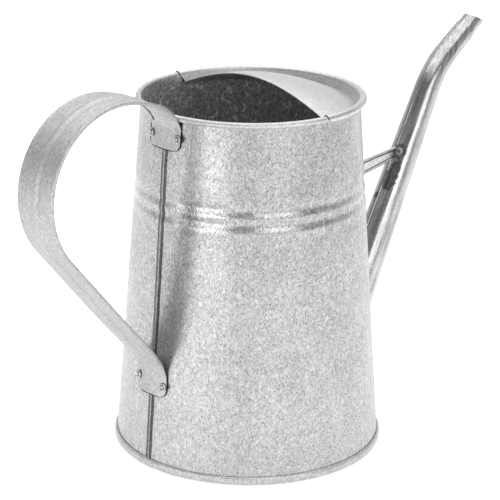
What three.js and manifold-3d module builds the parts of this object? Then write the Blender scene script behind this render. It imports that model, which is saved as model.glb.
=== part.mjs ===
// Galvanised watering can: conical body, half hood, strap handle, straight spout with a bent tip.
// Millimetres, +Z up, standing on z = 0. The spout points along +X and the handle along -X.
import * as THREE from 'three';
import { mergeVertices } from 'three/addons/utils/BufferGeometryUtils.js';
import Module from 'manifold-3d';

const wasm = await Module();
wasm.setup();

// ---- driving dimensions -------------------------------------------------------------------
const BASE_R = 82.5;            // outside of the base seam
const WALL_BOTTOM_R = 81.2;     // outside of the wall cone, taken down to z = 0
const WALL_TOP_R = 65.25;       // outside of the wall cone at the rim
const RIM_Z = 215.3;            // height of the rim wire
const SHEET = 0.6;              // sheet thickness
const GAP = 0.3;                // clearance between separate pieces
const SEGMENTS = 48;            // facets round the body

const CURL_R = 1.8;             // outside radius of the wired rim
const CURL_END = -112;          // the curl stops at this angle, just clear of the wall
const WIRE_R = 0.9;
const WALL_FOOT_Z = 1.1;        // the wall stands this high inside the base seam
const WALL_SHOULDER_Z = 212.6;  // the wall turns into the curl here
const BEAD_Z = [162.8, 154.2];  // two swaged beads round the wall
const BEAD_HALF = 2.6;
const BEAD_PROUD = 0.6;
const SEAM_PROUD = 0.7;         // lock seam down the handle side
const SEAM_WIDTH = 4.8;
const SEAM_BEVEL = 0.5;
const SEAM_ROOT = 0.4;          // the seam is sunk this far into the wall
const SEAM_OFFSET = 0.6;        // the seam runs slightly to one side of the handle

const BASE_BAND = 4.8;          // height of the base seam
const BASE_RECESS = 4.4;        // the bottom panel sits this high
const BASE_CORNER = 0.5;        // bend at each corner of the base seam

const HOOD_EDGE_X = 2.5;        // straight free edge of the hood, from the body axis
const HOOD_TOP_Z = 227;
const HOOD_FOLD_Z = 210.3;
const HOOD_SHEET = 0.5;
const HOOD_CRIMP_END = -50;     // the crimp wraps round the curl to this angle
const HOOD_CROWN_POWER = 0.92;  // below 1 the crown is slightly fuller than a cosine

// Reach of the handle strap to either side of its centre line, by distance from either end.
const STRAP_FAR = [[13, 13.4], [20, 14.2], [30, 15.4]];
const STRAP_NEAR = [[13, 11.6], [17, 11.2], [24, 12], [36, 14.5], [44, 15.4]];
const STRAP_THICK = 1.1;
const LUG_STANDOFF = 1.0;       // leaves room for the lock seam under the lugs
const LOOP_R = 51.4;
const LOOP_RHO = 110.9;         // centre of the round part of the loop, from the body axis
const LOOP_Z = 181.7;
const GRIP_ANGLE = 40.3;        // lean of the straight lower run, from the vertical
const UPPER_LUG_FOOT_Z = 195.5;
const UPPER_LUG_TOP_Z = 208.5;
const LOWER_LUG_FOOT_Z = 46;
const LUG_CORNER = 5;
const LUG_ENDS = [0, 0.5, 1.5, 3, 5, 8.5];  // stations along a lug, from its rounded end
const RIB_RUNOUT = [24, 38];    // the rib rises between these distances from either end
const RIB_PROUD = 0.8;
const RIB_GROOVE = 0.25;
const LUG_PULL = 10;            // how long the strap keeps the wall's direction above the upper lug
const LOOP_PULL = 21.5;         // and the level direction at the top of the loop
const GRIP_STATIONS = [0.35, 0.62, 0.7, 0.78, 0.86, 0.93];  // sections along the straight lower run
const GRIP_BEND = [7, 6];       // bend above the lower lug, along the grip and down the wall
const LOOP_BOW = -0.25;         // bow of the section in the loop, as a share of the wall's curve
const UPPER_BOW = [22, 52];     // the bow that fits the wall fades out between these distances
const LOWER_BOW = [70, 20];     // and comes back between these distances from the lower end

// Name, distance to the side of the handle's centre line, and height of each rivet.
const RIVETS = [
  ['rivet_upper_far', 11.7, 203.1],
  ['rivet_upper_near', -10.1, 203.2],
  ['rivet_lower_far', 11.7, 55],
  ['rivet_lower_near', -9.7, 53.2],
].map(([name, side, z]) => ({ name, side, z }));
const RIVET_HEAD_R = 2.5;
const RIVET_SHANK_R = 1.2;

const SPOUT_ROOT = [78.6, 35];      // spout centre line, distance from the axis and height
const SPOUT_BEND = [163.3, 205.9];
const SPOUT_MOUTH = [200.3, 233.4];
const SPOUT_ROOT_R = 12.8;
const SPOUT_MOUTH_R = 6.7;
const SPOUT_BEND_R = 60;
const SPOUT_SHEET = 0.7;
const MOUTH_TILT = 27;          // lean of the cut end's normal from the vertical
const SPOUT_OVERRUN = 14;       // the tube is drawn this far past the mouth and then cut

const BRACE_WALL_Z = 147.6;
const BRACE_SPOUT_Z = 155.2;
const BRACE_HEIGHT = 10;
const BRACE_THICK = 3.2;
const BRACE_WEB = 1.2;          // thickness between the rolled edges
const BRACE_ROLL = 2;           // height of each rolled edge
const TONGUE_R = 5.3;           // flattened ends of the brace
const SOLDER_WIDE = 2;          // how far each solder collar reaches
const SOLDER_THICK = 1;

const HANDLE_REACH = LOOP_RHO + LOOP_R + STRAP_THICK / 2 + RIB_PROUD;
const SPOUT_REACH = SPOUT_MOUTH[0] + SPOUT_MOUTH_R;
const AXIS_X = (HANDLE_REACH - SPOUT_REACH) / 2;    // centres the whole can on x = 0

const rad = THREE.MathUtils.degToRad;
const lerp = THREE.MathUtils.lerp;
const CONE_SLOPE = (WALL_TOP_R - WALL_BOTTOM_R) / RIM_Z;
const wallR = (z) => WALL_BOTTOM_R + CONE_SLOPE * z;
const fade = (at, [from, to]) => THREE.MathUtils.smoothstep((at - from) / (to - from), 0, 1);

// ---- solid helpers ------------------------------------------------------------------------
function toManifold(geometry) {
  const bare = geometry.clone();
  bare.deleteAttribute('normal');
  bare.deleteAttribute('uv');
  const merged = mergeVertices(bare, 1e-4);
  const position = merged.getAttribute('position');
  const index = Array.from(merged.index.array);
  let volume = 0;
  const a = new THREE.Vector3();
  const b = new THREE.Vector3();
  const c = new THREE.Vector3();
  for (let i = 0; i < index.length; i += 3) {
    a.fromBufferAttribute(position, index[i]);
    b.fromBufferAttribute(position, index[i + 1]);
    c.fromBufferAttribute(position, index[i + 2]);
    volume += a.dot(b.cross(c));
  }
  if (volume < 0) {
    index.reverse();
  }
  const mesh = new wasm.Mesh({
    numProp: 3,
    vertProperties: new Float32Array(position.array),
    triVerts: new Uint32Array(index),
  });
  return new wasm.Manifold(mesh);
}

function toGeometry(manifold) {
  const mesh = manifold.getMesh();
  const geometry = new THREE.BufferGeometry();
  geometry.setAttribute('position', new THREE.BufferAttribute(new Float32Array(mesh.vertProperties), 3));
  geometry.setIndex(new THREE.BufferAttribute(new Uint32Array(mesh.triVerts), 1));
  geometry.computeVertexNormals();
  return geometry;
}

// Closed profile of [radius, height] points turned about the vertical body axis.
function turned(profile, segments = SEGMENTS) {
  const points = profile.map(([r, z]) => new THREE.Vector2(Math.max(r, 0), z));
  const onAxis = points[0].x < 1e-9 && points[points.length - 1].x < 1e-9;
  if (!onAxis) {
    points.push(points[0].clone());
  }
  const geometry = new THREE.LatheGeometry(points, segments);
  geometry.rotateX(Math.PI / 2);
  return toManifold(geometry);
}

// Skin over a row of rings that all have the same number of points, with flat ends.
function loft(rings) {
  const count = rings[0].length;
  const positions = rings.flat().flatMap((p) => [p.x, p.y, p.z]);
  const index = [];
  for (let i = 0; i < rings.length - 1; i += 1) {
    for (let j = 0; j < count; j += 1) {
      const k = (j + 1) % count;
      const p = i * count + j;
      const q = i * count + k;
      index.push(p, q, q + count, p, q + count, p + count);
    }
  }
  [0, rings.length - 1].forEach((which, end) => {
    const centre = new THREE.Vector3();
    rings[which].forEach((p) => centre.addScaledVector(p, 1 / count));
    const hub = positions.length / 3;
    positions.push(centre.x, centre.y, centre.z);
    for (let j = 0; j < count; j += 1) {
      const p = which * count + j;
      const q = which * count + ((j + 1) % count);
      index.push(...(end === 0 ? [hub, q, p] : [hub, p, q]));
    }
  });
  const geometry = new THREE.BufferGeometry();
  geometry.setAttribute('position', new THREE.Float32BufferAttribute(positions, 3));
  geometry.setIndex(index);
  return toManifold(geometry);
}

function box(min, max) {
  const size = max.map((v, i) => v - min[i]);
  const geometry = new THREE.BoxGeometry(...size);
  geometry.translate(...max.map((v, i) => (v + min[i]) / 2));
  return toManifold(geometry);
}

function arc(cx, cz, radius, from, to, steps) {
  return Array.from({ length: steps + 1 }, (_, i) => {
    const angle = rad(lerp(from, to, i / steps));
    return [cx + radius * Math.cos(angle), cz + radius * Math.sin(angle)];
  });
}

const group = new THREE.Group();
group.name = 'watering_can';

function addNode(name, manifold, color, roughness) {
  const material = new THREE.MeshStandardMaterial({ color, roughness, metalness: 0.9 });
  material.name = `${name}_metal`;
  const mesh = new THREE.Mesh(toGeometry(manifold.translate([AXIS_X, 0, 0])), material);
  mesh.name = name;
  group.add(mesh);
}

// ---- body wall: swaged cone with a curled rim and a lock seam --------------------------------
function beadSwell(z) {
  return BEAD_Z.reduce((sum, centre) => {
    const t = (z - centre) / BEAD_HALF;
    return sum + (Math.abs(t) < 1 ? BEAD_PROUD * 0.5 * (1 + Math.cos(Math.PI * t)) : 0);
  }, 0);
}

function wallHeights(bottom, top) {
  const steps = [-1, -0.55, 0, 0.55, 1];
  const beads = BEAD_Z.slice().reverse().flatMap((z) => steps.map((t) => z + t * BEAD_HALF));
  return [bottom, lerp(bottom, beads[0], 0.5), ...beads, lerp(beads[beads.length - 1], top, 0.5), top];
}

// Solid cone that follows the beads and stands off the wall's outside by the given distance.
function wallCone(offset, bottom = -5, top = RIM_Z + 30) {
  const heights = wallHeights(bottom, top).filter((z) => z >= bottom && z <= top);
  const outside = heights.map((z) => [wallR(z) + beadSwell(z) + offset, z]);
  return turned([[0, bottom], ...outside, [0, top]]);
}

const CURL_CENTRE_R = WALL_TOP_R + CURL_R - SHEET + 0.15;

function wallSheet() {
  const heights = wallHeights(WALL_FOOT_Z, WALL_SHOULDER_Z);
  const outside = heights.map((z) => [wallR(z) + beadSwell(z), z]);
  const inside = heights.map((z) => [wallR(z) + beadSwell(z) - SHEET, z]).reverse();
  const curlInside = arc(CURL_CENTRE_R, RIM_Z, CURL_R - SHEET, 180, CURL_END, 9);
  const curlOutside = arc(CURL_CENTRE_R, RIM_Z, CURL_R, CURL_END, 180, 11);
  return turned([...outside, ...curlInside, ...curlOutside, ...inside]);
}

function lockSeam() {
  const heights = wallHeights(BASE_BAND + GAP, WALL_SHOULDER_Z - 1);
  const half = SEAM_WIDTH / 2;
  return loft(heights.map((z) => {
    const r = wallR(z) + beadSwell(z);
    const flat = half - SEAM_BEVEL;
    const root = r - SEAM_ROOT;
    const face = r + SEAM_PROUD;
    const ring = [[root, -half], [face, -flat], [face, flat], [root, half]];
    return ring.map(([rho, side]) => new THREE.Vector3(-rho, side + SEAM_OFFSET, z));
  }));
}

// ---- spout: tapered tube along a straight run, a bend and a short straight tip ---------------
function spoutPath() {
  const root = new THREE.Vector2(...SPOUT_ROOT);
  const bend = new THREE.Vector2(...SPOUT_BEND);
  const mouth = new THREE.Vector2(...SPOUT_MOUTH);
  const lower = bend.clone().sub(root).normalize();
  const upper = mouth.clone().sub(bend).normalize();
  const turn = lower.angleTo(upper);
  const tangent = SPOUT_BEND_R * Math.tan(turn / 2);
  const start = bend.clone().addScaledVector(lower, -tangent);
  const inward = new THREE.Vector2(lower.y, -lower.x);
  const centre = start.clone().addScaledVector(inward, SPOUT_BEND_R);
  const from = Math.atan2(start.y - centre.y, start.x - centre.x);
  const stations = [];
  [-34, 0, 30, 75, 120].forEach((d) => stations.push(root.clone().addScaledVector(lower, d)));
  const steps = 6;
  for (let i = 0; i <= steps; i += 1) {
    const angle = from - (turn * i) / steps;
    const reach = new THREE.Vector2(Math.cos(angle), Math.sin(angle)).multiplyScalar(SPOUT_BEND_R);
    stations.push(centre.clone().add(reach));
  }
  [-SPOUT_OVERRUN, 0, SPOUT_OVERRUN].forEach((d) => stations.push(mouth.clone().addScaledVector(upper, d)));
  return { stations, root, mouth };
}

const SPOUT = spoutPath();

function spoutSolid(offset, sides = 28) {
  const { stations, root, mouth } = SPOUT;
  const total = root.distanceTo(mouth);
  return loft(stations.map((p, i) => {
    const before = stations[Math.max(i - 1, 0)];
    const after = stations[Math.min(i + 1, stations.length - 1)];
    const along = after.clone().sub(before).normalize();
    const travelled = p.clone().sub(root).dot(mouth.clone().sub(root)) / (total * total);
    const radius = lerp(SPOUT_ROOT_R, SPOUT_MOUTH_R, travelled) + offset;
    return Array.from({ length: sides }, (_, j) => {
      const angle = (2 * Math.PI * j) / sides;
      const across = radius * Math.cos(angle);
      return new THREE.Vector3(p.x - along.y * across, radius * Math.sin(angle), p.y + along.x * across);
    });
  }));
}

// Everything on the can side of the slanted mouth cut.
function belowMouth() {
  const reach = 2 * SPOUT_REACH;
  const block = box([-reach, -reach, -reach], [reach, reach, 0]);
  return block.rotate([0, MOUTH_TILT, 0]).translate([SPOUT_MOUTH[0], 0, SPOUT_MOUTH[1]]);
}

const spoutOutside = spoutSolid(0);
const spoutBore = spoutSolid(-SPOUT_SHEET);
const spoutTube = spoutOutside.subtract(spoutBore).subtract(wallCone(GAP)).intersect(belowMouth());

// Collar that lies on both the wall and the spout, kept clear of the base seam.
const solderRing = spoutSolid(SOLDER_WIDE + GAP)
  .subtract(spoutSolid(GAP))
  .subtract(wallCone(GAP))
  .intersect(wallCone(SOLDER_WIDE + GAP, BASE_BAND + 1, SPOUT_ROOT[1] * 3));

// ---- rivets -------------------------------------------------------------------------------
const LEAN = (Math.atan(-CONE_SLOPE) * 180) / Math.PI;
const LUG_FACE = LUG_STANDOFF + STRAP_THICK;

// Turned shape whose axis is the wall's outward normal; heights are measured from the wall's outside.
function onWall(profile, rivet, segments = 16) {
  const upright = turned(profile, segments);
  return upright
    .rotate([0, 90 - LEAN, 0])
    .translate([wallR(rivet.z), 0, rivet.z])
    .rotate([0, 0, 180 - (Math.asin(rivet.side / wallR(rivet.z)) * 180) / Math.PI]);
}

function rivetSolid(rivet) {
  const head = LUG_FACE + GAP;
  const tail = -SHEET - GAP;
  return onWall([
    [0, tail - 0.8], [RIVET_HEAD_R - 0.5, tail - 0.8], [RIVET_HEAD_R - 0.2, tail],
    [RIVET_SHANK_R, tail], [RIVET_SHANK_R, head],
    [RIVET_HEAD_R, head], [RIVET_HEAD_R - 0.1, head + 0.5], [RIVET_HEAD_R - 0.9, head + 1.1],
    [RIVET_HEAD_R - 1.8, head + 1.35], [0, head + 1.4],
  ], rivet);
}

function rivetHole(rivet) {
  const r = RIVET_SHANK_R + GAP;
  const reach = 2 * LUG_FACE;
  return onWall([[0, -reach], [r, -reach], [r, reach], [0, reach]], rivet);
}

// ---- handle strap: its section bows to fit the wall at both lugs ------------------------------
// Half width to one side, with the corner of the lug rounded off.
function strapReach(fromEnd, widths) {
  const corner = Math.max(LUG_CORNER - fromEnd, 0);
  const trim = LUG_CORNER - Math.sqrt(LUG_CORNER ** 2 - corner ** 2);
  const next = widths.findIndex(([at]) => at > fromEnd);
  if (next <= 0) {
    return widths[next < 0 ? widths.length - 1 : 0][1] - trim;
  }
  const [[at, half], [nextAt, nextHalf]] = widths.slice(next - 1, next + 1);
  return lerp(half, nextHalf, (fromEnd - at) / (nextAt - at)) - trim;
}

const lugPoint = (z) => new THREE.Vector2(wallR(z) + LUG_STANDOFF + STRAP_THICK / 2, z);

function handlePath() {
  const lean = rad(GRIP_ANGLE);
  const down = new THREE.Vector2(-Math.sin(lean), -Math.cos(lean));
  const leave = new THREE.Vector2(LOOP_RHO + LOOP_R * Math.cos(lean), LOOP_Z - LOOP_R * Math.sin(lean));
  const wallAtZero = lugPoint(0).x;
  const meetZ = (leave.x - Math.tan(lean) * leave.y - wallAtZero) / (CONE_SLOPE - Math.tan(lean));
  const meet = lugPoint(meetZ);
  const foot = LUG_ENDS.map((d) => lugPoint(UPPER_LUG_FOOT_Z + d));
  const rise = new THREE.CubicBezierCurve(
    lugPoint(UPPER_LUG_TOP_Z),
    lugPoint(UPPER_LUG_TOP_Z + LUG_PULL),
    new THREE.Vector2(LOOP_RHO - LOOP_PULL, LOOP_Z + LOOP_R),
    new THREE.Vector2(LOOP_RHO, LOOP_Z + LOOP_R),
  );
  const round = arc(LOOP_RHO, LOOP_Z, LOOP_R, 90, -GRIP_ANGLE, 20).slice(1);
  const bendStart = meet.clone().addScaledVector(down, -GRIP_BEND[0]);
  const bend = new THREE.QuadraticBezierCurve(bendStart, meet, lugPoint(meetZ - GRIP_BEND[1]));
  const toe = LUG_ENDS.map((d) => lugPoint(LOWER_LUG_FOOT_Z + d)).reverse();
  return [
    ...foot,
    ...rise.getPoints(14),
    ...round.map(([x, y]) => new THREE.Vector2(x, y)),
    ...GRIP_STATIONS.map((t) => leave.clone().lerp(meet, t)),
    ...bend.getPoints(5),
    ...toe,
  ];
}

function strapSection(fromEnd, fit, radius) {
  const far = strapReach(fromEnd, STRAP_FAR);
  const near = strapReach(fromEnd, STRAP_NEAR);
  const rib = fade(fromEnd, RIB_RUNOUT);
  const across = [1, 0.7, 0.45, 0.3, 0.22, 0.1];
  const lift = [0, 0, 0, -RIB_GROOVE, RIB_PROUD / 4, RIB_PROUD];
  const sides = [...across.map((u) => -u), ...across.slice().reverse()];
  const lifts = [...lift, ...lift.slice().reverse()];
  const row = sides.map((u, i) => {
    const y = u * (u > 0 ? far : near);
    const sag = radius - Math.sqrt(radius ** 2 - y ** 2);
    return [y, fit * sag + rib * lifts[i]];
  });
  const outer = row.map(([y, n]) => [y, n + STRAP_THICK / 2]);
  const inner = row.map(([y, n]) => [y, n - STRAP_THICK / 2]).reverse();
  return [...outer, ...inner];
}

function strapSolid() {
  const path = handlePath();
  const reached = [0];
  path.slice(1).forEach((p, i) => reached.push(reached[i] + p.distanceTo(path[i])));
  const total = reached[reached.length - 1];
  const rings = path.map((p, i) => {
    const before = path[Math.max(i - 1, 0)];
    const after = path[Math.min(i + 1, path.length - 1)];
    const along = after.clone().sub(before).normalize();
    const normal = new THREE.Vector2(-along.y, along.x);
    const s = reached[i];
    const fit = lerp(lerp(1, LOOP_BOW, fade(s, UPPER_BOW)), -1, fade(total - s, LOWER_BOW));
    const radius = wallR(p.y) + LUG_STANDOFF + STRAP_THICK / 2;
    return strapSection(Math.min(s, total - s), fit, radius).map(([y, n]) => {
      const q = p.clone().addScaledVector(normal, n);
      return new THREE.Vector3(-q.x, y, q.y);
    });
  });
  return loft(rings);
}

// ---- spout brace: strip with rolled edges and a flattened tongue at each end ------------------
function braceBar() {
  const h = BRACE_HEIGHT / 2;
  const t = BRACE_THICK / 2;
  const w = BRACE_WEB / 2;
  const quarter = [[w, h - BRACE_ROLL], [t, h - BRACE_ROLL + 0.5], [t, h - 0.6], [w, h]];
  const right = [...quarter.map(([y, z]) => [y, -z]).reverse(), ...quarter];
  const section = [...right, ...right.map(([y, z]) => [-y, z]).reverse()];
  const start = wallR(BRACE_WALL_Z);
  const end = spoutRho(BRACE_SPOUT_Z);
  const stations = [
    [start - 4, BRACE_WALL_Z], [start + 4, BRACE_WALL_Z],
    [end - 12, BRACE_SPOUT_Z], [end - 3, BRACE_SPOUT_Z],
  ];
  return loft(stations.map(([x, z0]) => section.map(([y, z]) => new THREE.Vector3(x, y, z0 + z))));
}

// Round plug along X, used to cut discs out of a skin.
function plug(x0, x1, z, radius) {
  const round = turned([[0, x0], [radius, x0], [radius, x1], [0, x1]], 20);
  return round.rotate([0, 90, 0]).translate([0, 0, z]);
}

function spoutRho(z) {
  const t = (z - SPOUT_ROOT[1]) / (SPOUT_BEND[1] - SPOUT_ROOT[1]);
  return lerp(SPOUT_ROOT[0], SPOUT_BEND[0], t);
}

const spoutClear = spoutSolid(GAP);
const spoutSkin = spoutSolid(GAP + SOLDER_THICK).subtract(spoutClear);
const wallSkin = wallCone(GAP + SOLDER_THICK).subtract(wallCone(GAP));
const spoutSide = [spoutRho(BRACE_SPOUT_Z) - 16, spoutRho(BRACE_SPOUT_Z) - 2, BRACE_SPOUT_Z];
const wallSide = [wallR(BRACE_WALL_Z) - 10, wallR(BRACE_WALL_Z) + 8, BRACE_WALL_Z];

const brace = braceBar()
  .subtract(spoutClear)
  .subtract(wallCone(GAP))
  .add(spoutSkin.intersect(plug(...spoutSide, TONGUE_R)))
  .add(wallSkin.intersect(plug(...wallSide, TONGUE_R)));
const spoutSolder = spoutSkin
  .intersect(plug(...spoutSide, TONGUE_R + SOLDER_WIDE))
  .subtract(plug(...spoutSide, TONGUE_R + GAP));
const wallSolder = wallSkin
  .intersect(plug(...wallSide, TONGUE_R + SOLDER_WIDE))
  .subtract(plug(...wallSide, TONGUE_R + GAP));

// ---- base pan: recessed bottom with a seam channel that holds the foot of the wall ------------
function basePan() {
  const inner = wallR(WALL_FOOT_Z) - SHEET - GAP;
  const lip = wallR(BASE_BAND) + GAP;
  const leg = inner - SHEET;
  return turned([
    [0, BASE_RECESS - SHEET], [leg - 3, BASE_RECESS - SHEET], [leg - 0.8, BASE_RECESS - SHEET - 0.6],
    [leg, BASE_RECESS - 1.8], [leg, BASE_CORNER], [leg + BASE_CORNER, 0],
    [BASE_R - BASE_CORNER, 0], [BASE_R, BASE_CORNER],
    [BASE_R, BASE_BAND - BASE_CORNER], [BASE_R - BASE_CORNER, BASE_BAND], [lip, BASE_BAND],
    [lip + 0.05, BASE_BAND - 0.8], [BASE_R - SHEET, BASE_BAND - 1.4], [BASE_R - SHEET, SHEET],
    [inner, SHEET], [inner, BASE_RECESS - 0.6], [leg - 0.2, BASE_RECESS], [0, BASE_RECESS],
  ]);
}

// ---- hood: shallow half dome folded up the inside of the wall and crimped over the rim --------
function hoodSolid() {
  const near = CURL_R + GAP;
  const far = near + HOOD_SHEET;
  const fold = CURL_CENTRE_R - far;
  const rise = (r) => Math.cos((Math.PI / 2) * Math.min(r / fold, 1)) ** HOOD_CROWN_POWER;
  const crown = (r) => lerp(HOOD_FOLD_Z, HOOD_TOP_Z, rise(r));
  const radii = [0, 10, 20, 30, 40, 50, 58, 62];
  const under = radii.map((r) => [r, crown(r) - HOOD_SHEET]);
  const over = radii.map((r) => [r, crown(r)]).reverse();
  const profile = [
    ...under,
    [fold, HOOD_FOLD_Z - 1], [CURL_CENTRE_R - near, HOOD_FOLD_Z - 0.4],
    ...arc(CURL_CENTRE_R, RIM_Z, near, 180, HOOD_CRIMP_END, 8),
    ...arc(CURL_CENTRE_R, RIM_Z, far, HOOD_CRIMP_END, 180, 9),
    [fold, HOOD_FOLD_Z + 0.8],
    ...over,
  ];
  return turned(profile).intersect(box([HOOD_EDGE_X, -BASE_R, 0], [BASE_R, BASE_R, 2 * RIM_Z]));
}

// ---- assembly -----------------------------------------------------------------------------
const seamed = wallSheet().add(lockSeam());
const bored = seamed.subtract(spoutSolid(-SPOUT_SHEET));
const wall = RIVETS.reduce((solid, rivet) => solid.subtract(rivetHole(rivet)), bored);
const strap = RIVETS.reduce((solid, rivet) => solid.subtract(rivetHole(rivet)), strapSolid());
const rimWire = turned(arc(CURL_CENTRE_R, RIM_Z, WIRE_R, 0, 300, 5));   // six-sided section

addNode('body_wall', wall, 0xb9bbbb, 0.42);
addNode('rim_wire', rimWire, 0x8f9191, 0.5);
addNode('base_pan', basePan(), 0xaeb0b0, 0.45);
addNode('pouring_hood', hoodSolid(), 0xc4c6c6, 0.38);
addNode('handle_strap', strap, 0xb4b6b6, 0.42);
RIVETS.forEach((rivet) => addNode(rivet.name, rivetSolid(rivet), 0xa6a8a8, 0.4));
addNode('spout_tube', spoutTube, 0xbfc1c1, 0.22);
addNode('spout_root_solder', solderRing, 0x9a9c9c, 0.5);
addNode('spout_brace', brace, 0xbcbebe, 0.35);
addNode('brace_spout_solder', spoutSolder, 0x7f8181, 0.5);
addNode('brace_wall_solder', wallSolder, 0x8c8e8e, 0.5);

export default group;
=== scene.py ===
"""Looks for the galvanised watering can: every sheet-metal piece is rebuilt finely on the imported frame.

Lengths below are millimetres until a mesh is made. The can's own axis stands at x = AXIS_X.
A point in the handle and spout plane is written (rho, z): distance from that axis, and height.
"""
import math

import bmesh
import bpy
import numpy as np
from mathutils import Matrix, Vector


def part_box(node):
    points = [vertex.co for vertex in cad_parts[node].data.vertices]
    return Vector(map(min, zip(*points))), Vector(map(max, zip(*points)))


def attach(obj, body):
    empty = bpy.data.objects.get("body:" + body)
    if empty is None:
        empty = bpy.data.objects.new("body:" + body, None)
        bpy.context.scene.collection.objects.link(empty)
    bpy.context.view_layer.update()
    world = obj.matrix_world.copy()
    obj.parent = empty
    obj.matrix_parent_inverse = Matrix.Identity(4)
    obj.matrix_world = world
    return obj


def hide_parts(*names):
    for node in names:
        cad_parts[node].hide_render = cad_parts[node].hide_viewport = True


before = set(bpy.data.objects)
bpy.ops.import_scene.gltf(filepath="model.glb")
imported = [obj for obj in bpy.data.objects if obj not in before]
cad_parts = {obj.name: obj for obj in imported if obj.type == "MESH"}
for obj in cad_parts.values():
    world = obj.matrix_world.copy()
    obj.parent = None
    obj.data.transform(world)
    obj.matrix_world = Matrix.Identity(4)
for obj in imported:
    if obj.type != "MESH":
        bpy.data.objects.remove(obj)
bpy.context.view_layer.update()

MM = 0.001


def box_mm(node):
    low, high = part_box(node)
    return low / MM, high / MM


# ---- driving dimensions -----------------------------------------------------------------------
BASE_LOW, BASE_HIGH = box_mm("base_pan")
AXIS_X = (BASE_LOW.x + BASE_HIGH.x) / 2
BASE_R = (BASE_HIGH.x - BASE_LOW.x) / 2
BASE_BAND = BASE_HIGH.z
BASE_RECESS = 4.4               # the bottom panel sits this high
BASE_CORNER = 1.3
PANEL_STEP = 14                 # width of the raised ring round the bottom panel
WALL_BOTTOM_R = BASE_R - 1.3    # outside of the wall's cone, taken down to z = 0
WALL_TOP_R = 65.25              # and up to the rim
WALL_FOOT_Z = 1.1               # the wall stands this high inside the base seam
WALL_SHOULDER_Z = 213.2         # the wall turns into the curl here
RIM_Z = 215.3                   # height of the rim's wire
SHEET = 0.6                     # thickness of the wall and the bottom
CURL_R = 1.8                    # outside radius of the wired rim
CURL_END = -118                 # the curl stops at this angle
CREVICE = 0.15                  # air left between one sheet and the next
CURL_CENTRE_R = WALL_TOP_R + CURL_R - SHEET + CREVICE
# Two swaged grooves round the wall: height, and how far the sheet stands off the plain cone.
BEAD_TURNS = ((169.0, 0.0), (165.5, -0.45), (160.2, 0.12), (157.0, -0.42), (151.5, 0.2), (147.0, 0.0))
# Section of the lock seam: sideways, and how far it stands off the wall.
SEAM_SECTION = ((2.6, -0.25), (2.4, 0.15), (0.25, 0.75), (0.05, 0.95), (-1.0, 0.9), (-1.3, 0.45), (-2.2, 0.25),
                (-2.4, -0.25))
# The fold and the drop of the seam are painted dark as shade and dark reflection; the ridge is lighter.
SEAM_SHADED, SEAM_RIDGE = {1, 4, 5, 6}, {2, 3}     # sides of that section
SEAM_OFFSET = 0.6               # the seam runs slightly to one side of the handle
SEAM_DRIFT = ((0.12, 0.043), (0.06, 0.31))       # slow and quick wander: reach, and turn for each mm
SEAM_TOP_Z = 213.4

HOOD_EDGE_X = 2.5               # straight free edge of the hood, from the can's axis
HOOD_TOP_Z = 227.0
HOOD_FOLD_Z = 210.3
HOOD_SHEET = 0.5
HOOD_CROWN_POWER = 0.92         # below 1 the crown is slightly fuller than a cosine
HOOD_FOLD_R = CURL_CENTRE_R - CURL_R - 0.3 - HOOD_SHEET
HOOD_CRIMP_END = -62            # the crimp wraps round the curl to this angle
HOOD_NEAR_END = (HOOD_EDGE_X, -3.4)              # slanted cut of the crimp, at the fold and over the rim
HOOD_FAR_END = (5.0, 0.8)
HEM_R = 0.62                    # rolled bead along the hood's free edge

# Reach of the strap to either side of the handle's centre line, by distance from either end.
STRAP_FAR = ((13.0, 13.4), (20.0, 14.2), (30.0, 15.4))
UPPER_FAR = ((13.0, 15.7), (30.0, 15.4))         # the upper lug keeps the strap's width on the far side
STRAP_NEAR = ((13.0, 11.6), (17.0, 11.2), (24.0, 12.0), (36.0, 14.5), (44.0, 15.4))
LUG_CORNER = 5.0
LUG_STANDOFF = 1.0              # leaves room for the lock seam under the lugs
STRAP_THICK = 1.1
HEM_THICK = 1.9                 # strap and folded hem together
HEM_START = 15.0                # the hems begin this far from either end
HEM_RUN = 12.0                  # and reach their full thickness after this
HEM_WIDTH = 2.4
HEM_ROUND = 0.5
SLIT_END = 42.0                 # the far hem's slit of painted shade runs up to here
RIB_PROUD, RIB_WIDTH = 0.6, 1.7
RIB_RUNOUT = (20, 34)           # the rib rises between these distances from either end
RIB_GROOVE = (0.25, 3.2, 0.8)   # pressed line beside the rib: depth, distance to the near side, width
EDGE_LIP = 0.22
LUG_SEAT = (12, 20)             # a lug's edges close on the wall out to here
UPPER_BOW = (22, 52)            # the bow that fits the wall fades out between these distances
LOWER_BOW = (70, 20)            # and comes back between these distances from the lower end
LOOP_BOW = -0.25                # bow of the section in the loop, as a share of the wall's curve
LOOP_R = 51.4                   # round part of the loop, to the middle of the strap
LOOP_RHO = 110.9
LOOP_Z = 181.7
GRIP_ANGLE = math.radians(40.3) # lean of the straight lower run, from the vertical
LUG_PULL = 10                   # how long the strap keeps the wall's direction above the upper lug
LOOP_PULL = 21.5                # and the level direction at the top of the loop
GRIP_BEND = (7, 6)              # bend above the lower lug, along the grip and down the wall
UPPER_LUG_FOOT_Z = 195.5
UPPER_LUG_TOP_Z = 208.5
LOWER_LUG_FOOT_Z = 46.0

# Name, distance to the side of the handle's centre line, and height of each rivet.
RIVETS = (
    ("rivet_upper_far", 11.7, 203.1),
    ("rivet_upper_near", -10.1, 203.2),
    ("rivet_lower_far", 11.7, 55.0),
    ("rivet_lower_near", -9.7, 53.2),
)
RIVET_HEAD_R = 2.5

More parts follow.
